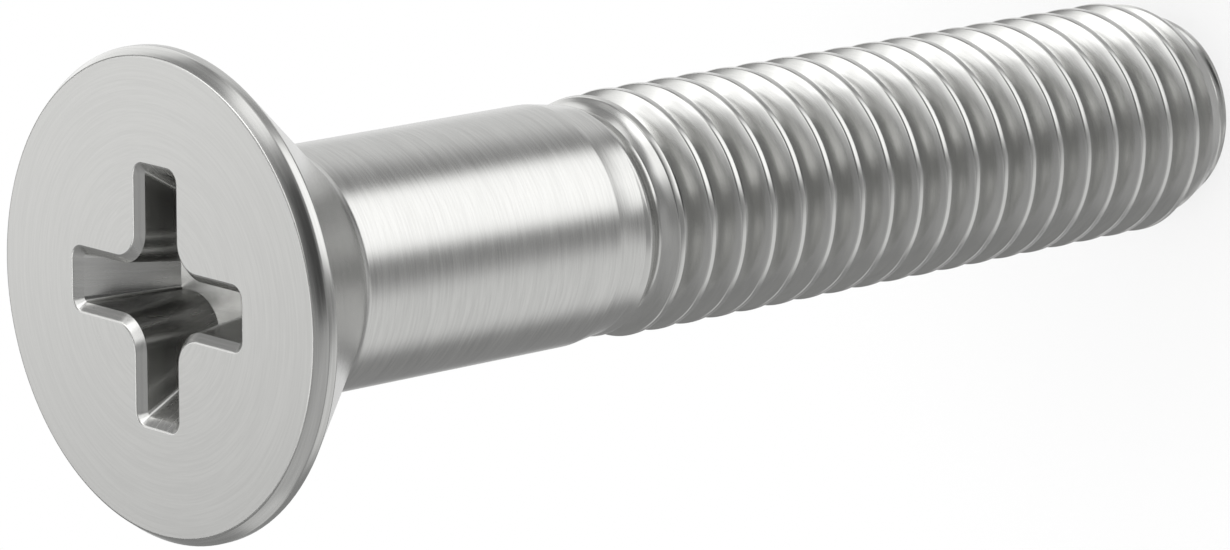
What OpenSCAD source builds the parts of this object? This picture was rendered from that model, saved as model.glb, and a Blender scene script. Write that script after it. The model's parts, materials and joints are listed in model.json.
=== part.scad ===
// Countersunk machine screw with a cross recess, standing on its flat thread end
// The axis is Z, the end face lies at z = 0 and the head is at the top

/* [Thread] */
// Diameter over the thread crests
thread_d = 6; // [5.6:0.1:6.6]
// Distance along the axis from one crest to the next
pitch = 1; // [0.8:0.05:1.25]
// Depth of the thread from crest to root
thread_depth = 0.6; // [0.4:0.05:0.65]
// Width of the narrow flat on each crest
crest_w = 0.12; // [0.08:0.01:0.2]
// Width of the rounded bottom of each groove
root_w = 0.28; // [0.2:0.01:0.34]
// Share of the thread depth that the rounded bottom takes up
root_rise = 0.12; // [0.05:0.01:0.2]
// Length from the flat end to the groove under the plain shank
thread_len = 20.8; // [14:0.2:40]
// Length over which the last turns run out to nothing
runout_len = 1.2; // [0.8:0.1:2.5]
// Angle about the axis at which a crest meets the end face
start_angle = 38; // [0:1:359]
// Diameter of the flat end face
end_d = 4.8; // [4:0.1:5]
// Length of the taper that leads the thread in from the end face
lead_len = 1.4; // [0.6:0.1:2]

/* [Shank] */
// Diameter of the plain shank
shank_d = 5.9; // [5.7:0.05:6]
// Length of the plain cylinder between the neck and the head
shank_len = 7.9; // [3:0.1:30]
// Diameter at the bottom of the shallow neck between shank and thread
neck_d = 5.64; // [5.3:0.02:5.68]
// Length of the cone from the shank down to the neck
neck_len = 0.9; // [0.5:0.1:2]

/* [Head] */
// Diameter over the rim of the head
head_d = 11.6; // [10.6:0.1:13]
// Angle between opposite sides of the countersunk cone, in degrees
cone_angle = 82; // [80:1:100]
// Height of the cylindrical rim
rim_h = 0.24; // [0.1:0.02:0.6]
// How far the front bevel stands in from the rim
bevel_in = 0.2; // [0.1:0.02:0.4]
// How far the front bevel reaches back along the axis
bevel_h = 0.3; // [0.1:0.02:0.5]
// Radius of the fillet between the cone and the shank
fillet_r = 0.4; // [0.1:0.05:1]

/* [Cross recess] */
// Distance across two opposite wings at the mouth, inside the mouth bevel
wing_span = 5.8; // [5:0.1:6.4]
// Width of a wing at the mouth, inside the mouth bevel
wing_w = 1.18; // [0.9:0.02:1.4]
// Radius of the corner between neighbouring wings
wing_fillet = 0.85; // [0.5:0.05:1.1]
// Radius of the corners at the tip of each wing
tip_r = 0.14; // [0.05:0.01:0.3]
// Angle at which the floor of each wing leans in from the axis, in degrees
floor_angle = 32; // [24:1:36]
// Diameter of the shallow drill point, where the leaning floors end
bottom_d = 3.4; // [2.6:0.1:3.8]
// Width of a wing down there
bottom_w = 0.7; // [0.5:0.02:0.9]
// Radius down there of the corner between neighbouring wings
bottom_fillet = 1.08; // [0.7:0.02:1.2]
// Radius down there of the corners at the tip of each wing
bottom_tip_r = 0.08; // [0.04:0.01:0.12]
// Angle across the drill point, in degrees
point_angle = 168; // [140:1:174]
// Width of the small bevel round the mouth
mouth_bevel = 0.19; // [0.05:0.01:0.3]

/* [Hidden] */
$fn = 80;

// Flat facets round the thread, and round the arcs of the recess
thread_cols = 36;
fillet_fn = 48;
wing_fillet_steps = 6;
tip_steps = 3;
// Overlap that keeps a cut clear of the surface it opens through
over = 0.1;
// Least flat side left between a wing's tip and its inner fillet
least_flat = 0.02;

thread_r = thread_d / 2;
root_r = thread_r - thread_depth;
shank_r = shank_d / 2;
neck_r = neck_d / 2;
head_r = head_d / 2;

// Heights above the end face
shank_z = thread_len + neck_len;
cone_z = shank_z + shank_len;
rim_z = cone_z + (head_r - shank_r) / tan(cone_angle / 2);
bevel_z = rim_z + rim_h;
face_z = bevel_z + bevel_h;

// One turn of the thread, from a crest to the next:
// each point has its place along the pitch, in mm, and its share of the depth
root_mid = (crest_w + pitch) / 2;
turn_points = [
    [0, 1],
    [crest_w, 1],
    [root_mid - root_w / 2, root_rise],
    [root_mid, 0],
    [root_mid + root_w / 2, root_rise]
];
rows = len(turn_points);

// The helix runs on below the end face, where it is cut off, and up into the shank:
// the two discs that close it never show
extra_turns = 2;
bottom_z = -extra_turns * pitch;
turns = ceil(thread_len / pitch) + extra_turns + 1;
steps = turns * thread_cols;
top_z = bottom_z + (turns + 0.5) * pitch;
buried_slope = 0.4;

// Height of a point of the thread surface, at a step along the helix and a row
// of the turn: the first and last turns are drawn flat onto the two discs
function column(step) = step % thread_cols;
function helix_z(step, row) = bottom_z + pitch * step / thread_cols + turn_points[row][0];
function first_z(step) = bottom_z + pitch * column(step) / thread_cols;
function last_z(step) =
    bottom_z + pitch * (turns + (column(step) == 0 ? 1 : column(step) / thread_cols));
function surface_z(step, row) =
    let (z = helix_z(step, row),
         to_bottom = max(0, 1 - (z - first_z(step)) / pitch),
         to_top = max(0, 1 - (last_z(step) - z) / pitch))
    z + to_bottom * (bottom_z - first_z(step)) + to_top * (top_z - last_z(step));

// Radius there: the thread form, run out towards the neck, inside the lead taper
function lead_r(z) = end_d / 2 + (thread_r - end_d / 2) * z / lead_len;
function form_r(row) = root_r + thread_depth * turn_points[row][1];
function surface_r(z, row) =
    let (full = min(1, max(0, (thread_len - z) / runout_len)))
    z > thread_len
        ? neck_r - buried_slope * (z - thread_len)
        : min(lead_r(z), neck_r + (form_r(row) - neck_r) * full);

function surface_point(step, row) =
    let (z = surface_z(step, row),
         r = surface_r(z, row),
         a = 360 * step / thread_cols)
    [r * cos(a), r * sin(a), z];

// Place of a point in the list: row 0 runs one turn further than the others
function point_index(step, row) =
    row == rows ? point_index(step + thread_cols, 0)
    : step <= steps ? step * rows + row
    : (steps + 1) * rows + step - steps - 1;

// The threaded length, as one closed surface whose rows follow the helix, cut flat
// at the end face
module thread() {
    points = concat(
        [for (step = [0 : steps], row = [0 : rows - 1]) surface_point(step, row)],
        [for (step = [steps + 1 : steps + thread_cols]) surface_point(step, 0)]
    );
    skin = [
        for (step = [0 : steps - 1], row = [0 : rows - 1], half = [0, 1])
            half == 0
                ? [point_index(step, row), point_index(step, row + 1), point_index(step + 1, row)]
                : [point_index(step + 1, row), point_index(step, row + 1),
                   point_index(step + 1, row + 1)]
    ];
    // Where the helix starts and stops, a fan closes the one open column
    start_fan = [
        for (row = [0 : rows - 1])
            [point_index(thread_cols - 1, 0), point_index(0, row + 1), point_index(0, row)]
    ];
    stop_fan = [
        for (row = [0 : rows - 1])
            [point_index(steps + 1, 0), point_index(steps, row), point_index(steps, row + 1)]
    ];
    bottom_disc = [[for (step = [0 : thread_cols - 1]) point_index(step, 0)]];
    top_disc = [[for (step = [thread_cols : -1 : 1]) point_index(steps + step, 0)]];
    rotate(start_angle)
        difference() {
            polyhedron(points, concat(skin, start_fan, stop_fan, bottom_disc, top_disc));
            translate([-thread_r - over, -thread_r - over, bottom_z - over])
                cube([thread_d + 2 * over, thread_d + 2 * over, over - bottom_z]);
        }
}

// Head, plain shank and neck, turned about the axis
module turned_body() {
    half_cone = cone_angle / 2;
    // The fillet touches the shank below the corner and the cone above it
    touch = fillet_r * tan(half_cone / 2);
    low_z = cone_z - touch;
    high_r = shank_r + touch * sin(half_cone);
    high_z = cone_z + touch * cos(half_cone);
    // Below the neck a short plug stands inside the thread
    plug_h = 0.3;
    plug_r = root_r - over;
    rotate_extrude() {
        polygon([
            [0, thread_len - plug_h], [plug_r, thread_len - plug_h], [neck_r, thread_len],
            [shank_r, shank_z], [shank_r, cone_z], [head_r, rim_z], [head_r, bevel_z],
            [head_r - bevel_in, face_z], [0, face_z]
        ]);
        difference() {
            polygon([[shank_r - over, low_z], [shank_r, low_z], [high_r, high_z],
                     [shank_r - over, high_z]]);
            translate([shank_r + fillet_r, low_z])
                circle(r = fillet_r, $fn = fillet_fn);
        }
    }
}

// Outline of the cross, grown outwards by a distance and set at a height, where its sizes
// have gone a share of the way from the mouth to the drill point. It is made of four
// quarters: a wing tip's corner, an inner fillet and the next tip's corner
function on_the_way(mouth, bottom, share) = mouth + (bottom - mouth) * share;
function arc(centre, r, from, to, n) =
    [for (i = [0 : n]) let (a = from + (to - from) * i / n) centre + r * [cos(a), sin(a)]];
function quarter(grow, share) =
    let (tip = on_the_way(tip_r, bottom_tip_r, share),
         along = on_the_way(wing_span, bottom_d, share) / 2 - tip,
         half_w = on_the_way(wing_w, bottom_w, share) / 2,
         wanted = on_the_way(wing_fillet, bottom_fillet, share),
         // The fillet leaves a little of the wing's flat side
         fillet = min(wanted, along - half_w - least_flat),
         corner = half_w + fillet)
    concat(
        arc([along, half_w - tip], tip + grow, 0, 90, tip_steps),
        arc([corner, corner], fillet - grow, 270, 180, wing_fillet_steps),
        arc([half_w - tip, along], tip + grow, 0, 90, tip_steps)
    );
function cross_ring(grow, share, z) = [
    for (turn = [0 : 90 : 270], p = quarter(grow, share))
        [p[0] * cos(turn) - p[1] * sin(turn), p[0] * sin(turn) + p[1] * cos(turn), z]
];

// The recess: a bevelled mouth, wings that close in with depth, and a drill point
module recess() {
    floor_run = (wing_span - bottom_d) / 2 / tan(floor_angle);
    point_slope = tan(90 - point_angle / 2);
    depth = mouth_bevel + floor_run + bottom_d / 2 * point_slope;
    low_z = -depth - over;
    rings = [
        cross_ring(0, (-mouth_bevel - low_z) / floor_run, low_z),
        cross_ring(0, 0, -mouth_bevel),
        cross_ring(mouth_bevel + over, 0, over)
    ];
    n = len(rings[0]);
    sides = [
        for (level = [0, 1], i = [0 : n - 1])
            let (next = (i + 1) % n)
            [level * n + i, (level + 1) * n + i, (level + 1) * n + next, level * n + next]
    ];
    // What stays standing under the drill point
    floor_r = wing_span;
    floor_z = floor_r * point_slope - depth;
    block_z = low_z - over;
    translate([0, 0, face_z])
        difference() {
            polyhedron(
                concat(rings[0], rings[1], rings[2]),
                concat(sides, [[for (i = [0 : n - 1]) i], [for (i = [n - 1 : -1 : 0]) 2 * n + i]])
            );
            rotate_extrude()
                polygon([[0, -depth], [floor_r, floor_z], [floor_r, block_z], [0, block_z]]);
        }
}

module screw() {
    color("silver")
        difference() {
            union() {
                turned_body();
                thread();
            }
            recess();
        }
}

screw();
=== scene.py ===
# %% [markdown]
# # A countersunk machine screw
# The real screw is one piece of stainless steel: a turned head, a plain shank and a rolled thread.
# It was modelled as a solid first, and that solid is loaded here as the frame. This lesson builds
# a finer mesh of the same shape in its place, and gives each surface the finish that its tool
# leaves. The solid itself could be shown, but its edges are bare, and an edge without a small
# rounding catches no light.

# %% Load the frame
import json
import math

import bmesh
import bpy
from mathutils import Matrix, Vector

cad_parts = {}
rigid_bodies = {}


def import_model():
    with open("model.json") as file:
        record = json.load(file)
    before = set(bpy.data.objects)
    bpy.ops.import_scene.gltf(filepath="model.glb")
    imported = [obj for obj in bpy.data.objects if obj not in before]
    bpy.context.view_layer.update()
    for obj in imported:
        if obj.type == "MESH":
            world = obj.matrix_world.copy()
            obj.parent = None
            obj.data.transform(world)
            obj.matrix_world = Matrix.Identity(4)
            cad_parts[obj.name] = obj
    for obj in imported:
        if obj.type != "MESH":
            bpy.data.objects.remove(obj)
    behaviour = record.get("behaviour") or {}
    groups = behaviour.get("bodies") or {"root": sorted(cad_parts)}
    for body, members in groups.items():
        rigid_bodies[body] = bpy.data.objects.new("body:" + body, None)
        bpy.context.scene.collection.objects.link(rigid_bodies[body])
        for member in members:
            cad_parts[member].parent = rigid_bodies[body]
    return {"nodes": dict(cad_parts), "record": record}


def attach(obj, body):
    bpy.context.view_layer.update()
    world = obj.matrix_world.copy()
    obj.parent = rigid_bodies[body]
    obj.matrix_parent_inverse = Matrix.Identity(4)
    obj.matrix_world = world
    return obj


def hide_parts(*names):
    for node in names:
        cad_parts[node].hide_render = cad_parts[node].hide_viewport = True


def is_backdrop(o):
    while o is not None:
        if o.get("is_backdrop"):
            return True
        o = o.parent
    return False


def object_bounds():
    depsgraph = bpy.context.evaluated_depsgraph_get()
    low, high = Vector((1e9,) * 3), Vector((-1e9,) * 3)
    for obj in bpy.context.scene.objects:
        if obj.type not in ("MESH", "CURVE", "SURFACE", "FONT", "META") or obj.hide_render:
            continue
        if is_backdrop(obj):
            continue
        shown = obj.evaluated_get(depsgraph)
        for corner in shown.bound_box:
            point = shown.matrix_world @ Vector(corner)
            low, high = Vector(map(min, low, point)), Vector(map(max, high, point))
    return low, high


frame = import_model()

cad_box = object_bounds()
MM = 0.001
print("frame loaded:", sorted(frame["nodes"]), "nodes")

# %% [markdown]
# ## The sizes
# Every mesh below is worked out in millimetres and scaled to metres when it is finished. The sizes
# that another part depends on come from the frame's box and mounts. The others are the sizes
# of this screw's own details: its bevels, neck and thread. A name that ends in R is a radius, one
# that ends in Z is a height above the floor, and one that ends in W is a width.

# %% Sizes in millimetres
mounts = {mount["name"]: mount for mount in frame["record"]["mounts"]}

FACE_Z = cad_box[1].z / MM
HEAD_R = cad_box[1].x / MM
SHANK_R = mounts["shank"]["dims"]["r_mm"]
THREAD_R = mounts["thread"]["dims"]["r_mm"]
THREAD_LEN = mounts["thread"]["dims"]["length_mm"]

BEVEL_IN = 0.2
BEVEL_H = 0.3
RIM_H = 0.24
CONE_ANGLE = 82
NECK_R = 2.82
NECK_LEN = 0.9
PITCH = 1.0
THREAD_DEPTH = 0.6
RUNOUT_LEN = 1.2
START_ANGLE = 38
END_R = 2.4
LEAD_LEN = 1.4

BEVEL_Z = FACE_Z - BEVEL_H
RIM_Z = BEVEL_Z - RIM_H
CONE_Z = RIM_Z - (HEAD_R - SHANK_R) / math.tan(math.radians(CONE_ANGLE / 2))
SHANK_Z = THREAD_LEN + NECK_LEN
ROOT_R = THREAD_R - THREAD_DEPTH

# How many columns of faces go once round the axis
COLUMNS = 144
# Points nearer to each other than this are one point
MERGE = 0.0005
# The slack in comparing heights that are meant to be the same
LEVEL = 1e-5
print(f"screw {FACE_Z:.2f} mm long, head {2 * HEAD_R:.2f} mm")
print(f"plain shank from {SHANK_Z:.2f} to {CONE_Z:.2f} mm")

# %% [markdown]
# ## Working with bmesh
# A bmesh is a mesh held open for modelling. A turned part could be built up from cylinders and
# cones, but then each joint between them has to be closed by hand. One line of points, spun
# round the axis by `turn` as a lathe does it, gives the whole surface at once. `make_piece`
# stores the result in an object that sits at the origin, unturned, with its place in its mesh.
# It stays in millimetres while it is cut, because the cuts are more exact at that scale, and
# `to_metres` comes last.

# %% Helpers for modelling
def draw_line(bm, points):
    """A chain of edges through (radius, height) points, in the XZ plane."""
    verts = [bm.verts.new((r, 0, z)) for r, z in points]
    edges = [bm.edges.new(pair) for pair in zip(verts, verts[1:])]
    return verts + edges


def turn(bm, points, columns=COLUMNS):
    """Spins a line of points once round the Z axis."""
    bmesh.ops.spin(bm, geom=draw_line(bm, points), cent=(0, 0, 0), axis=(0, 0, 1), dvec=(0, 0, 0),
                   angle=math.tau, steps=columns, use_merge=True, use_duplicate=False)
    bmesh.ops.remove_doubles(bm, verts=bm.verts, dist=MERGE)


def radius(vert):
    """How far a point is from the axis."""
    return math.hypot(vert.co.x, vert.co.y)


def ring_edges(bm, r, z, slack=0.002):
    """The edges that run round the axis at one radius and height."""
    return [e for e in bm.edges
            if all(abs(radius(v) - r) < slack and abs(v.co.z - z) < slack for v in e.verts)]


def round_ring(bm, r, z, reach, segments):
    """Rounds a turned corner: reach is how far from it the rounding starts."""
    bmesh.ops.bevel(bm, geom=ring_edges(bm, r, z), offset=reach, offset_type="OFFSET",
                    segments=segments, profile=0.5, affect="EDGES", material=-1)


def make_piece(bm, name, materials=()):
    """Turns a bmesh into an object at the origin."""
    bmesh.ops.recalc_face_normals(bm, faces=bm.faces)
    for face in bm.faces:
        face.smooth = True
    mesh = bpy.data.meshes.new(name)
    bm.to_mesh(mesh)
    bm.free()
    for material in materials:
        mesh.materials.append(material)
    piece = bpy.data.objects.new(name, mesh)
    bpy.context.collection.objects.link(piece)
    return piece


def to_metres(piece):
    """Scales the mesh itself, so that the object keeps a scale of 1."""
    piece.data.transform(Matrix.Scale(MM, 4))
    return piece


def open_edges(bm):
    """The edges with a face on one side only: a closed mesh has none."""
    return [e for e in bm.edges if len(e.link_faces) == 1]

# %% [markdown]
# ## Writing shaders as sums
# Shader maths is easier to read as an expression than as a row of nodes. `Value` wraps a socket, so
# that adding or multiplying two of them adds the Math node. `Nodes.node` adds any other node.

# %% Sockets as values
def as_input(node, name, value):
    """Links a value to one of a node's sockets, or sets the socket if the value is a constant."""
    socket = node.inputs[name]
    if isinstance(value, Value):
        node.id_data.links.new(value.socket, socket)
    else:
        socket.default_value = value


class Value:
    """One output of a shader node, with Python's operators."""

    def __init__(self, socket):
        self.socket = socket

    def _math(self, operation, first, second=None):
        node = self.socket.id_data.nodes.new("ShaderNodeMath")
        node.operation = operation
        as_input(node, 0, first)
        if second is not None:
            as_input(node, 1, second)
        return Value(node.outputs[0])

    def __add__(self, other):
        return self._math("ADD", self, other)

    def __radd__(self, other):
        return self._math("ADD", other, self)

    def __sub__(self, other):
        return self._math("SUBTRACT", self, other)

    def __rsub__(self, other):
        return self._math("SUBTRACT", other, self)

    def __mul__(self, other):
        return self._math("MULTIPLY", self, other)

    def __rmul__(self, other):
        return self._math("MULTIPLY", other, self)

    def __truediv__(self, other):
        return self._math("DIVIDE", self, other)

    def __rtruediv__(self, other):
        return self._math("DIVIDE", other, self)

    def below(self, other):
        """1 where this value is the smaller one, and 0 elsewhere."""
        return self._math("LESS_THAN", self, other)

    def at_least(self, other):
        return self._math("MAXIMUM", self, other)

    def root(self):
        return self._math("SQRT", self)


# %% The node tree of a material
class Nodes:
    """The nodes of one new material."""

    def __init__(self, name):
        self.material = bpy.data.materials.new(name)
        self.material.use_nodes = True
        self.tree = self.material.node_tree
        self.tree.nodes.clear()

    def node(self, kind, settings=None, inputs=None, output=0):
        """Adds a node, and returns the output that is asked for."""
        node = self.tree.nodes.new(kind)
        for key, setting in (settings or {}).items():
            setattr(node, key, setting)
        for key, value in (inputs or {}).items():
            as_input(node, key, value)
        return Value(node.outputs[output]) if node.outputs else None

    def surface(self, shader):
        """Ends the tree with its shader, and returns the material."""
        self.node("ShaderNodeOutputMaterial", None, {"Surface": shader})
        return self.material

    def place(self):
        """The point's own place in metres, as x, y and z."""
        coords = self.node("ShaderNodeTexCoord", output="Object")
        split = self.node("ShaderNodeSeparateXYZ", None, {"Vector": coords})
        return [Value(out) for out in split.socket.node.outputs]

    def vector(self, x, y, z):
        return self.node("ShaderNodeCombineXYZ", inputs={"X": x, "Y": y, "Z": z})

    def smooth(self, value, low, high, at_low=0.0, at_high=1.0):
        """Eases from at_low to at_high as the value goes from low to high."""
        return self.node("ShaderNodeMapRange", {"interpolation_type": "SMOOTHSTEP"},
                         {"Value": value, "From Min": low, "From Max": high,
                          "To Min": at_low, "To Max": at_high})

# %% [markdown]
# ## The steel
# Turned steel keeps the tool's marks: fine rings round the axis, each one long along the ring and
# very thin across it. They could be cut into the mesh, but that takes millions of faces. A noise
# texture makes them if its coordinates are stretched that way. Here the fourth coordinate is
# the radius and the third is the height, both multiplied many times, while the direction round
# the axis changes slowly. The marks come in two sets, fine and broad, because a tool never
# cuts evenly. A third noise gives the slight waves that make highlights on real steel uneven.

# %% The metal and its marks
STEEL_COLOUR = (0.66, 0.66, 0.645)
# The dark marks, as a share of the colour's brightness
STREAK_SHADE = 0.8
# Noise stays near its middle, so marks go from none to full between these two values
STREAK_LOW = 0.3
STREAK_HIGH = 0.7
# How strong each finer layer of the noise is beside the one before it
STREAK_ROUGHNESS = 0.65
# The whole difference in roughness between one mark and another
ROUGHNESS_SWING = 0.12
# A Mix node has a set of sockets for each type: these are its two colours and their result
MIX_A = 6
MIX_B = 7
MIX_RESULT = 2


def tinted(steel, tone, light, dark):
    """Goes from the dark colour to the light one as the tone goes from 0 to 1."""
    return steel.node("ShaderNodeMix", {"data_type": "RGBA"},
                      {"Factor": tone, MIX_A: (*dark, 1), MIX_B: (*light, 1)}, output=MIX_RESULT)


def metal(steel, colour, roughness, streak, height_mm):
    """The metal itself: height_mm is a relief in millimetres, which the light shows."""
    relief = steel.node("ShaderNodeBump", None,
                        {"Height": height_mm, "Strength": 1.0, "Distance": MM})
    uneven = roughness + (streak - 0.5) * ROUGHNESS_SWING
    return steel.surface(steel.node("ShaderNodeBsdfPrincipled", None,
                                    {"Base Color": colour, "Metallic": 1.0,
                                     "Roughness": uneven, "Normal": relief}))


# %% Turned steel
# The two sets of marks: the noise's detail, its speed round the axis, and its speed across
FINE_MARKS = (2.0, 2.5, 1.0)
BROAD_MARKS = (1.0, 1.2, 0.25)
WAVE_SCALE = 0.9
WAVE_DETAIL = 1.0
# On the axis itself there is no direction round it, so the radius stays above this
LEAST_R = 0.01


def turned_steel(name, roughness, r_marks, z_marks, fine, contrast, mark_mm, wave_mm):
    """Steel with marks round the axis.

    r_marks and z_marks are how many there are to a millimetre outwards and upwards, fine is the
    share of the fine ones, contrast is how far the darkest go towards their dark colour, and
    mark_mm and wave_mm are how high the marks and the waves stand.
    """
    steel = Nodes(name)
    x, y, z = steel.place()
    r = (x * x + y * y).root().at_least(LEAST_R * MM)
    turn_x = x / r
    turn_y = y / r

    def rings(detail, slow, scale):
        place = steel.vector(turn_x * slow, turn_y * slow, z * (z_marks * scale / MM))
        return steel.node("ShaderNodeTexNoise", {"noise_dimensions": "4D"},
                          {"Vector": place, "W": r * (r_marks * scale / MM), "Scale": 1.0,
                           "Detail": detail, "Roughness": STREAK_ROUGHNESS})

    streak = rings(*FINE_MARKS) * fine + rings(*BROAD_MARKS) * (1 - fine)
    wave = steel.node("ShaderNodeTexNoise", None,
                      {"Vector": steel.vector(x / MM, y / MM, z / MM), "Scale": WAVE_SCALE,
                       "Detail": WAVE_DETAIL})
    tone = steel.smooth(streak, STREAK_LOW, STREAK_HIGH, 1 - contrast, 1.0)
    dark = [STREAK_SHADE * part for part in STEEL_COLOUR]
    return metal(steel, tinted(steel, tone, STEEL_COLOUR, dark), roughness, streak,
                 streak * mark_mm + wave * wave_mm)


# %% [markdown]
# ## The steel of the recess
# A punch presses the recess in, so its marks run the way the punch moved, straight down the walls.
# Across a wing they are fine. Deep down the colour is darkened with depth, as painted shade
# that stands in for the shade of the walls. That shade could come from the light alone, but
# the depth is easy to measure from the face, and the painted shade darkens the metal in every view.

# %% Pressed steel
# The colour of the painted shade deep in the recess
DEEP_SHADE_COLOUR = (0.43, 0.43, 0.42)
# Painted shade: the metal goes from its own colour to the shade colour between these two depths
UNSHADED_DEPTH = 0.15
FULL_SHADE_DEPTH = 1.1
# How much of the tone comes from the painted shade of depth: the marks give the rest
DEPTH_SHARE = 0.7
# Marks to a millimetre down the wall, where they are long
DOWN_MARKS = 0.5
STREAK_DETAIL = 2.0
# Moves one pair of wings to another place in the noise
WING_SHIFT = 7


def pressed_steel(name, roughness, marks, mark_mm):
    """Steel with marks down the walls of the recess, and painted shade that darkens it with depth:
    marks is how many to a millimetre.
    """
    steel = Nodes(name)
    x, y, z = steel.place()
    in_y_wing = (x * x).below(y * y)
    across = x * in_y_wing + y * (1 - in_y_wing)
    place = steel.vector(across * (marks / MM), z * (DOWN_MARKS / MM), in_y_wing * WING_SHIFT)
    streak = steel.node("ShaderNodeTexNoise", None,
                        {"Vector": place, "Scale": 1.0, "Detail": STREAK_DETAIL,
                         "Roughness": STREAK_ROUGHNESS})
    # Painted shade: the colour darkens from the mouth of the recess downwards
    depth = FACE_Z * MM - z
    unshaded = steel.smooth(depth, UNSHADED_DEPTH * MM, FULL_SHADE_DEPTH * MM, DEPTH_SHARE, 0.0)
    tone = unshaded + steel.smooth(streak, STREAK_LOW, STREAK_HIGH, 0.0, 1 - DEPTH_SHARE)
    return metal(steel, tinted(steel, tone, STEEL_COLOUR, DEEP_SHADE_COLOUR), roughness, streak,
                 streak * mark_mm)


# %% [markdown]
# ## One finish for each tool
# One steel could cover the whole screw, but each tool leaves its own marks. The face is turned
# flat, so its rings depend on the radius alone. The rings of the shank follow its height.
# The thread is rolled between dies, which leave soft marks and a gently wavy surface.
# The shallow cone at the bottom of the recess is the smoothest.

# %% The five finishes
face_steel = turned_steel("turned_face_steel", roughness=0.30, r_marks=14, z_marks=0,
                          fine=0.75, contrast=0.55, mark_mm=0.0008, wave_mm=0.0)
shank_steel = turned_steel("turned_shank_steel", roughness=0.24, r_marks=9, z_marks=16,
                           fine=0.85, contrast=0.7, mark_mm=0.0008, wave_mm=0.0012)
thread_steel = turned_steel("rolled_thread_steel", roughness=0.22, r_marks=9, z_marks=0.5,
                            fine=0.6, contrast=0.5, mark_mm=0.0015, wave_mm=0.012)
# The recess steel carries painted shade, which darkens it with depth
recess_steel = pressed_steel("pressed_recess_steel", roughness=0.26, marks=9, mark_mm=0.0006)
point_steel = turned_steel("drill_point_steel", roughness=0.20, r_marks=6, z_marks=0,
                           fine=0.6, contrast=0.3, mark_mm=0.0008, wave_mm=0.0)
# The places of the five in every piece's list of materials, in the same order
FACE, SHANK, THREAD, RECESS, POINT = range(5)
steels = [face_steel, shank_steel, thread_steel, recess_steel, point_steel]
print("steels:", [steel.name for steel in steels])

# %% [markdown]
# ## The thread
# A thread is one groove wound round a rod. A stack of separate rings looks much the same from a
# step away, but it has no start, no end and no slope, so the real helix is made here. The
# line that is drawn is its section over the whole length: crest, flank, rounded root and
# flank again, once for each pitch. Spin also moves the line up by one pitch in each full
# turn, and so the last column lands on the first one, one pitch higher, and the seam closes.

# %% One pitch of the section
CREST_W = 0.17
# How far from the crest's corner its rounding starts
CREST_EDGE = 0.035
CREST_STEPS = 4
ROOT_W = 0.28
# The root is a shallow hollow, this much higher at its sides
ROOT_RISE = 0.072
ROOT_STEPS = 6
FLANK_STEPS = 3


def thread_section():
    """(radius, height) over one pitch, from the middle of a crest to the next."""
    half = CREST_W / 2
    run = (PITCH - CREST_W - ROOT_W) / 2
    drop = THREAD_DEPTH - ROOT_RISE
    flank_turn = math.atan2(drop, run)
    crest_round = CREST_EDGE / math.tan(flank_turn / 2)
    points = [(THREAD_R, 0)]
    for step in range(CREST_STEPS + 1):
        turned = flank_turn * step / CREST_STEPS
        points.append((THREAD_R - crest_round * (1 - math.cos(turned)),
                       half - CREST_EDGE + crest_round * math.sin(turned)))
    for step in range(1, FLANK_STEPS):
        share = step / FLANK_STEPS
        points.append((THREAD_R - drop * share, half + run * share))
    for step in range(ROOT_STEPS + 1):
        across = 2 * step / ROOT_STEPS - 1
        points.append((ROOT_R + ROOT_RISE * across ** 2, PITCH / 2 + across * ROOT_W / 2))
    before_root = points[1:-ROOT_STEPS - 1]
    return points + [(r, PITCH - z) for r, z in reversed(before_root)]


print("points in a pitch of the thread:", len(thread_section()))

# %% [markdown]
# ## Both ends of the thread
# Towards the neck the groove gets shallower until it is gone, and at the other end a taper leads
# the screw into its hole. Both could be cut with a Boolean modifier, but it is simpler to move
# the points: near the neck each one moves towards the neck's radius, and near the end none
# may lie outside the taper. Two cuts with Bisect then trim the ends flat, and the lower
# one is filled with the end face.

# %% Wind the thread
# More pitches are wound than are needed, and the cuts take these off at each end
EXTRA_PITCHES = 2
# The bridge from the thread to the neck fills this last stretch of the height
JOIN_GAP = 0.02
# Points below this height belong to the end face
END_Z = 0.01


def limit_radius(vert):
    """Runs the thread out towards the neck, and tapers it at the end face."""
    r = radius(vert)
    z = vert.co.z
    full = min(1, max(0, (THREAD_LEN - z) / RUNOUT_LEN))
    lead = END_R + (THREAD_R - END_R) * z / LEAD_LEN
    limited = min(lead, NECK_R + (r - NECK_R) * full)
    vert.co.x *= limited / r
    vert.co.y *= limited / r


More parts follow.
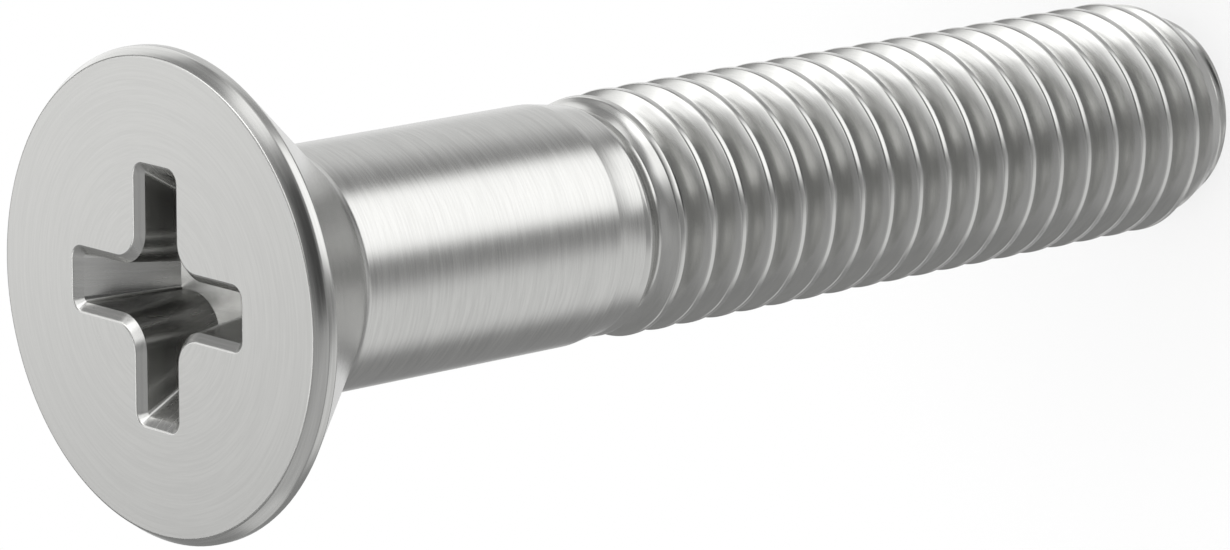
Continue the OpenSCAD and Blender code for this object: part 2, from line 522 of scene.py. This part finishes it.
def thread_bmesh():
    """The thread, closed by the end face and open at the neck."""
    bm = bmesh.new()
    pitches = math.ceil(THREAD_LEN / PITCH) + 2 * EXTRA_PITCHES
    section = thread_section()
    line = [(r, z + PITCH * (count - EXTRA_PITCHES))
            for count in range(pitches) for r, z in section]
    bmesh.ops.spin(bm, geom=draw_line(bm, line), cent=(0, 0, 0), axis=(0, 0, 1),
                   dvec=(0, 0, PITCH / COLUMNS), angle=math.tau, steps=COLUMNS,
                   use_merge=False, use_duplicate=False)
    bmesh.ops.remove_doubles(bm, verts=bm.verts, dist=MERGE)
    # At the start angle, the lower edge of a crest is level with the end face
    bmesh.ops.rotate(bm, verts=bm.verts, cent=(0, 0, 0),
                     matrix=Matrix.Rotation(math.radians(START_ANGLE), 3, "Z"))
    bmesh.ops.translate(bm, verts=bm.verts, vec=(0, 0, CREST_W / 2))
    for vert in bm.verts:
        limit_radius(vert)
    for height, side in ((0, -1), (THREAD_LEN - JOIN_GAP, 1)):
        bmesh.ops.bisect_plane(bm, geom=bm.verts[:] + bm.edges[:] + bm.faces[:], dist=LEVEL,
                               plane_co=(0, 0, height), plane_no=(0, 0, side), clear_outer=True)
    for face in bm.faces:
        face.material_index = THREAD
    end_ring = [e for e in open_edges(bm) if all(v.co.z < END_Z for v in e.verts)]
    end_face = bmesh.ops.contextual_create(bm, geom=end_ring)["faces"]
    for face in end_face:
        face.material_index = FACE
    print("thread:", len(bm.faces), "faces, end ring of", len(end_ring), "edges")
    return bm

# %% [markdown]
# ## The head and shank
# These are lathe work, so they are one line spun round the axis. The line could hold the points
# of each rounding too, but it is easier to read as seven points. Bevel then rounds five of the
# corners: the two edges of the front bevel, the back of the rim and the end of the plain
# shank by a hair, and the corner under the cone with the fillet that keeps a head from
# snapping off.

# %% Turn the head and shank
EDGE_ROUND = 0.035
EDGE_STEPS = 3
SHOULDER_STEPS = 2
FILLET_R = 0.4
FILLET_STEPS = 8
# Faces above this depth under the head's face are part of it
FACE_DEPTH = 0.001


def head_bmesh():
    """The head and the plain shank, open at the neck."""
    bm = bmesh.new()
    turn(bm, [(0, FACE_Z), (HEAD_R - BEVEL_IN, FACE_Z), (HEAD_R, BEVEL_Z), (HEAD_R, RIM_Z),
              (SHANK_R, CONE_Z), (SHANK_R, SHANK_Z), (NECK_R, THREAD_LEN)])
    for face in bm.faces:
        on_top = all(v.co.z > FACE_Z - FACE_DEPTH for v in face.verts)
        face.material_index = FACE if on_top else SHANK
    turned = math.radians(CONE_ANGLE / 2)
    round_ring(bm, HEAD_R - BEVEL_IN, FACE_Z, EDGE_ROUND, EDGE_STEPS)
    round_ring(bm, HEAD_R, BEVEL_Z, EDGE_ROUND, EDGE_STEPS)
    round_ring(bm, HEAD_R, RIM_Z, EDGE_ROUND, EDGE_STEPS)
    round_ring(bm, SHANK_R, CONE_Z, FILLET_R * math.tan(turned / 2), FILLET_STEPS)
    round_ring(bm, SHANK_R, SHANK_Z, EDGE_ROUND, SHOULDER_STEPS)
    print("head and shank:", len(bm.faces), "faces")
    return bm


def joined_body():
    """The thread and the head as one closed mesh."""
    bm = thread_bmesh()
    head = head_bmesh()
    spare = bpy.data.meshes.new("head_and_shank")
    head.to_mesh(spare)
    head.free()
    bm.from_mesh(spare)
    bpy.data.meshes.remove(spare)
    bmesh.ops.bridge_loops(bm, edges=open_edges(bm))
    print("body:", len(bm.faces), "faces,", len(open_edges(bm)), "open edges")
    return bm

# %% [markdown]
# ## The cross recess
# The recess is where the driver fits. Its walls could be pushed into the head's face by Inset and
# Extrude, but the real one is pressed with a punch, and the punch is the simpler shape: outlines
# of the cross at several depths, joined by Bridge. The first ones turn over the rounded edge
# of the mouth, then comes its bevel, and then the walls, which close in with depth. A
# drill point, which is a very shallow cone, closes them below. Two Boolean modifiers do the
# rest: one trims the punch to the drill point, and the other takes it out of the head.

# %% Sizes of the cross, at the mouth and at the drill point
WING_SPAN = (5.8, 3.4)
WING_W = (1.18, 0.7)
WING_FILLET = (0.85, 1.08)
TIP_R = (0.14, 0.08)
FLOOR_ANGLE = 32
POINT_ANGLE = 168
MOUTH_BEVEL = 0.19
MOUTH_ANGLE = 45
MOUTH_EDGE_R = 0.09
MOUTH_EDGE_STEPS = 6

FLOOR_RUN = (WING_SPAN[0] - WING_SPAN[1]) / 2 / math.tan(math.radians(FLOOR_ANGLE))
POINT_SLOPE = math.tan(math.radians(90 - POINT_ANGLE / 2))
RECESS_DEPTH = MOUTH_BEVEL + FLOOR_RUN + WING_SPAN[1] / 2 * POINT_SLOPE
print("recess", round(RECESS_DEPTH, 2), "mm deep")

# %% The outline of the cross
TIP_STEPS = 9
WING_FILLET_STEPS = 14
# The inner corners lie at 1.41 half widths from the axis, and the outer ones much further
INNER_REACH = 1.5


def on_the_way(sizes, share):
    """A size at some share of the way from the mouth to the drill point."""
    return sizes[0] + (sizes[1] - sizes[0]) * share


def cross_outline(bm, grow, share, z):
    """Adds the cross at a height as one face, and returns its edges."""
    half_w = on_the_way(WING_W, share) / 2 + grow
    half_span = on_the_way(WING_SPAN, share) / 2 + grow
    corners = []
    for quarter in range(4):
        turned = Matrix.Rotation(quarter * math.pi / 2, 3, "Z")
        corners += [turned @ Vector((x, y, z))
                    for x, y in ((half_span, -half_w), (half_span, half_w), (half_w, half_w))]
    bm.faces.new([bm.verts.new(corner) for corner in corners])

    def at_height(items):
        return [item for item in items
                if all(abs(v.co.z - z) < LEVEL for v in getattr(item, "verts", [item]))]

    def round_corners(inner, reach, segments):
        verts = [v for v in at_height(bm.verts) if (radius(v) < half_w * INNER_REACH) == inner]
        bmesh.ops.bevel(bm, geom=verts, offset=reach, offset_type="OFFSET", segments=segments,
                        profile=0.5, affect="VERTICES", material=-1)

    round_corners(False, on_the_way(TIP_R, share) + grow, TIP_STEPS)
    round_corners(True, on_the_way(WING_FILLET, share) - grow, WING_FILLET_STEPS)
    return at_height(bm.edges)


# %% The punch
# How far the punch reaches past the head's face, and past the deepest point
OVER = 0.05
# Keeps the start of the mouth's rounding just off the face, because a Boolean is unsure
# about two surfaces at one height
LIFT = 0.0004


def punch_levels():
    """(growth, share of the way down, height) of each outline, from the top."""
    rim = MOUTH_BEVEL + MOUTH_EDGE_R * math.tan(math.radians(MOUTH_ANGLE / 2))
    levels = [(rim, 0, FACE_Z + OVER)]
    for step in range(MOUTH_EDGE_STEPS + 1):
        turned = math.radians(MOUTH_ANGLE) * step / MOUTH_EDGE_STEPS
        levels.append((rim - MOUTH_EDGE_R * math.sin(turned), 0,
                       FACE_Z + LIFT - MOUTH_EDGE_R * (1 - math.cos(turned))))
    levels.append((0, 0, FACE_Z - MOUTH_BEVEL))
    low = RECESS_DEPTH + OVER
    levels.append((0, (low - MOUTH_BEVEL) / FLOOR_RUN, FACE_Z - low))
    return levels


def punch_object():
    """The solid that the punch leaves empty, before its floor is trimmed."""
    bm = bmesh.new()
    outlines = [cross_outline(bm, *level) for level in punch_levels()]
    inner = [outline[0].link_faces[0] for outline in outlines[1:-1]]
    bmesh.ops.delete(bm, geom=inner, context="FACES_ONLY")
    for upper, lower in zip(outlines, outlines[1:]):
        bmesh.ops.bridge_loops(bm, edges=upper + lower)
    print("punch:", len(bm.faces), "faces,", len(open_edges(bm)), "open edges")
    return make_piece(bm, "punch", steels)


# %% The drill point
POINT_COLUMNS = 96


def drill_point_object():
    """A solid that holds all the punch above the drill point."""
    bm = bmesh.new()
    wide = WING_SPAN[0]
    low_z = FACE_Z - RECESS_DEPTH
    high_z = FACE_Z + wide
    turn(bm, [(0, low_z), (wide, low_z + wide * POINT_SLOPE), (wide, high_z), (0, high_z)],
         POINT_COLUMNS)
    return make_piece(bm, "drill_point", steels)


# %% Cut the recess
def boolean(piece, other, operation):
    """Applies a Boolean modifier and removes the other object."""
    modifier = piece.modifiers.new(operation.lower(), "BOOLEAN")
    modifier.operation = operation
    modifier.solver = "EXACT"
    modifier.object = other
    graph = bpy.context.evaluated_depsgraph_get()
    result = bpy.data.meshes.new_from_object(piece.evaluated_get(graph))
    piece.modifiers.clear()
    piece.data = result
    bpy.data.objects.remove(other)


def paint_faces(piece, slot):
    """Gives every face one of the steels, which the Boolean modifiers keep."""
    for polygon in piece.data.polygons:
        polygon.material_index = slot


punch = punch_object()
paint_faces(punch, RECESS)
drill_point = drill_point_object()
paint_faces(drill_point, POINT)
boolean(punch, drill_point, "INTERSECT")
screw = make_piece(joined_body(), "screw_body", steels)
boolean(screw, punch, "DIFFERENCE")
print("screw with its recess:", len(screw.data.polygons), "faces")

# %% [markdown]
# ## Crisp shading
# Polished metal shows every change of its normals. Flat shading would show each facet, and smooth
# shading blends the normals of neighbouring faces, which bends the look of a wide face next to
# a narrow bevel. So the Weighted Normal modifier lets the larger face win, and edges sharper
# than 25 degrees stay sharp. In the recess that limit is 11 degrees, because its roundings
# turn in smaller steps. The border of each level face, such as the head's, stays sharp too, or
# its outer triangles would lean a little and show as wedges in the reflection.

# %% Sharp edges and weighted normals
SHARP = math.radians(25)
SHARP_PRESSED = math.radians(11)
# A face is level where the upright part of its normal is longer than this
UPRIGHT = 0.99999
# The cuts leave points that are nearer to each other than this
CUT_MERGE = 0.0003


def shade(piece):
    """Marks the sharp edges, and lets the larger faces lead the normals."""
    bm = bmesh.new()
    bm.from_mesh(piece.data)
    bmesh.ops.remove_doubles(bm, verts=bm.verts, dist=CUT_MERGE)
    for face in bm.faces:
        face.smooth = True
    for edge in bm.edges:
        level = [abs(face.normal.z) > UPRIGHT for face in edge.link_faces]
        pressed = all(face.material_index >= RECESS for face in edge.link_faces)
        limit = SHARP_PRESSED if pressed else SHARP
        edge.smooth = edge.calc_face_angle(0) < limit and all(level) == any(level)
    triangles = sum(len(face.verts) - 2 for face in bm.faces)
    print("open edges:", len(open_edges(bm)), "triangles:", triangles)
    bm.to_mesh(piece.data)
    bm.free()
    weighted = piece.modifiers.new("weighted", "WEIGHTED_NORMAL")
    weighted.keep_sharp = True


shade(screw)
to_metres(screw)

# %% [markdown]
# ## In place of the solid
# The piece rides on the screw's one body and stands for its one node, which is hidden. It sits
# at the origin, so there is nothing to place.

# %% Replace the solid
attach(screw, "root")
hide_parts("screw")
print(screw.name, "stands for the node screw")

# %% [markdown]
# ## The camera
# A screw that lies down would roll, so it stands on its end. The picture shows it lying, with the
# head towards the viewer. The screw could be turned for the picture, but then it no longer
# stands where the solid does. So the camera is turned instead: it looks at the head from
# 37 degrees above its face, and lies on its side. A long lens from far away keeps the
# far end of the screw almost as large as the head.

# %% Camera
CAMERA_AZIMUTH = -73.8
CAMERA_HEIGHT = 37.3
CAMERA_DISTANCE = 154.15
CAMERA_AIM = Vector((-1.44, -0.44, 19.61))
CAMERA_ROLL = 101.2
LENS = 197.0


def direction(azimuth, elevation):
    """A unit vector: azimuth from +X towards +Y, and elevation above the floor, in degrees."""
    a = math.radians(azimuth)
    e = math.radians(elevation)
    return Vector((math.cos(a) * math.cos(e), math.sin(a) * math.cos(e), math.sin(e)))


place = Vector((0, 0, FACE_Z)) + CAMERA_DISTANCE * direction(CAMERA_AZIMUTH, CAMERA_HEIGHT)
camera = bpy.data.objects.new("camera", bpy.data.cameras.new("camera"))
bpy.context.collection.objects.link(camera)
camera.data.lens = LENS
camera.data.clip_start = MM
camera.location = place * MM
look = (CAMERA_AIM - place).to_track_quat("-Z", "Y")
roll = Matrix.Rotation(math.radians(-CAMERA_ROLL), 3, "Z").to_quaternion()
camera.rotation_mode = "QUATERNION"
camera.rotation_quaternion = look @ roll
bpy.context.scene.camera = camera
print("camera at", [round(c, 1) for c in place], "mm")

# %% [markdown]
# ## The floor
# The floor is pale and plain. A large plane would show its edge against the white world, so this
# one is a disc. It is faint already under the screw, where it only has to hold the shadow,
# and fades out completely towards its edge.

# %% Floor and world
# The floor starts to fade at this distance from the axis
FLOOR_FADE_R = 6
FLOOR_R = 16
FLOOR_COLUMNS = 96
FLOOR_PALE = (0.98, 0.98, 0.98, 1)
# How much of the white world shows through the floor under the screw
FLOOR_CLEAR = 0.75


def make_floor():
    """A pale table round the foot, which keeps the screw's shadow."""
    bm = bmesh.new()
    bmesh.ops.create_circle(bm, cap_ends=True, radius=FLOOR_R, segments=FLOOR_COLUMNS)
    floor = to_metres(make_piece(bm, "floor"))
    paint = Nodes("floor_paint")
    x, y = paint.place()[:2]
    away = (x * x + y * y).root()
    white = paint.node("ShaderNodeBsdfDiffuse", None, {"Color": FLOOR_PALE})
    clear = paint.node("ShaderNodeBsdfTransparent")
    fade = paint.smooth(away, FLOOR_FADE_R * MM, FLOOR_R * MM, FLOOR_CLEAR, 1.0)
    floor.data.materials.append(paint.surface(paint.node(
        "ShaderNodeMixShader", None, {0: fade, 1: white, 2: clear})))
    floor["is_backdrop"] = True


make_floor()
world = bpy.data.worlds.new("studio")
bpy.context.scene.world = world
world.use_nodes = True
background = world.node_tree.nodes["Background"]
background.inputs["Color"].default_value = (1, 1, 1, 1)
background.inputs["Strength"].default_value = 1.0
print("floor fades out at", FLOOR_R, "mm from the axis")

# %% [markdown]
# ## The studio
# Polished steel has hardly a colour of its own: what shows on it is the room. Area lamps could
# light it, but they would light the floor too, and the steel would show their hard outlines. So
# the room is a tent of soft panels round the screw, which only the metal sees. Each panel is
# placed by where its reflection shows, and named after that place. Upper, lower and left are
# as the picture shows the screw. Between the panels the tent is grey, and the shades make
# it darker still, because metal gets its shape from dark and light together.

# %% The panels
# Angles in degrees, of the middle as seen from the screw, with the camera at azimuth 0:
# (azimuth, elevation, half width, half height, width of the soft edge, strength)
ROOM_LIGHT = 0.30
PANELS = {
    "long highlight of the shank": (31, -38, 17.5, 8, 13, 1.36),
    "lower side of the shank": (-63, -40, 14, 12, 20, 0.54),
    "upper side of the shank": (119, -40, 10, 12, 24, 0.50),
    "countersunk cone": (172, -40, 8, 12, 20, 0.66),
    "fillet under the cone": (0, -88, 13, 13, 8, 0.15),
    "head's face and the upper flanks of the thread": (143, 42, 29, 7.5, 6, 1.02),
    "flanks just below the upper ones": (102, 50, 10, 6, 9, 1.00),
    "flanks across the middle": (55, 71, 16, 6, 12, 0.35),
    "lower flanks": (-86, 60, 10, 10, 14, 0.12),
    "glints on the upper crests": (82, 47, 9, 5, 7, 1.60),
    "glints on the middle crests": (44, 58, 10, 5, 9, 1.10),
    "outer edges of the upper crests": (72, -6, 13, 13, 12, 0.35),
    "edge of the head's face": (-160, 67, 12, 8, 6, 1.20),
    "upper front bevel": (70, 16, 9, 9, 9, 1.00),
    "lower front bevel": (-62, 18, 34, 12, 14, 0.26),
    "lowest part of the front bevel": (-114, -2, 8, 13, 8, 0.45),
    "bevel of the recess's mouth": (-36, 50, 9, 7, 9, 0.16),
    "floor of the recess's lower wing": (141, -8, 27, 10, 9, 0.85),
}
SHADES = {
    "middle of the front bevel": (9, 30, 24, 7, 8, 0.26),
    "middle flanks": (0, 76, 12, 12, 16, 0.08),
    "slope down to the neck": (66, -62, 9, 8, 10, 0.20),
}
print("tent:", len(PANELS), "panels and", len(SHADES), "shades")

# %% The tent
TENT_R = 500
TENT_ROUNDS = 4
# The walls never get darker than this
DARKEST = 0.03
# A panel shows only on its own half of the tent, and fades in over this cosine at the border
FACING_EDGE = 0.1
# Keeps the division below away from zero
LEAST_AHEAD = 1e-3


def make_tent():
    """The studio's walls, seen only in the metal."""
    bm = bmesh.new()
    bmesh.ops.create_icosphere(bm, subdivisions=TENT_ROUNDS, radius=TENT_R)
    tent = to_metres(make_piece(bm, "studio_walls"))
    walls = Nodes("studio_walls")
    x, y, z = walls.place()
    here = walls.node("ShaderNodeVectorMath", {"operation": "NORMALIZE"},
                      {0: walls.vector(x, y, z)})

    def along(vector):
        """How far this point of the tent lies along a direction, from -1 to 1."""
        return walls.node("ShaderNodeVectorMath", {"operation": "DOT_PRODUCT"},
                          {0: here, 1: vector}, output=1)

    def panel(azimuth, elevation, half_w, half_h, edge, strength):
        """The panel's light at this point of the tent."""
        front = direction(CAMERA_AZIMUTH + azimuth, elevation)
        side = direction(CAMERA_AZIMUTH + azimuth + 90, 0)
        up = front.cross(side)
        ahead = along(front).at_least(LEAST_AHEAD)

        def within(across, half):
            slope = walls.node("ShaderNodeMath", {"operation": "ABSOLUTE"}, {0: across / ahead})
            return walls.smooth(slope, math.tan(math.radians(half)),
                                math.tan(math.radians(half + edge)), 1.0, 0.0)

        facing = walls.smooth(along(front), 0.0, FACING_EDGE)
        return within(along(side), half_w) * within(along(up), half_h) * facing * strength

    light = ROOM_LIGHT
    for values in SHADES.values():
        light = light - panel(*values)
    for values in PANELS.values():
        light = light + panel(*values)
    tent.data.materials.append(walls.surface(walls.node(
        "ShaderNodeEmission", None, {"Color": light.at_least(DARKEST), "Strength": 1.0})))
    tent.visible_camera = False
    tent.visible_diffuse = False
    tent.visible_shadow = False
    tent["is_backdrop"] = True


make_tent()

# %% [markdown]
# ## Colours and sizes
# Blender's default view softens highlights, so the Standard view is set, which shows each colour
# as it was written. Then the corners of the finished screw's box are printed in millimetres.

# %% Colours as they are, and the sizes
scene = bpy.context.scene
scene.view_settings.view_transform = "Standard"

visual_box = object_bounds()
for corner in visual_box:
    print("corner in mm:", [round(part / MM, 3) for part in corner])
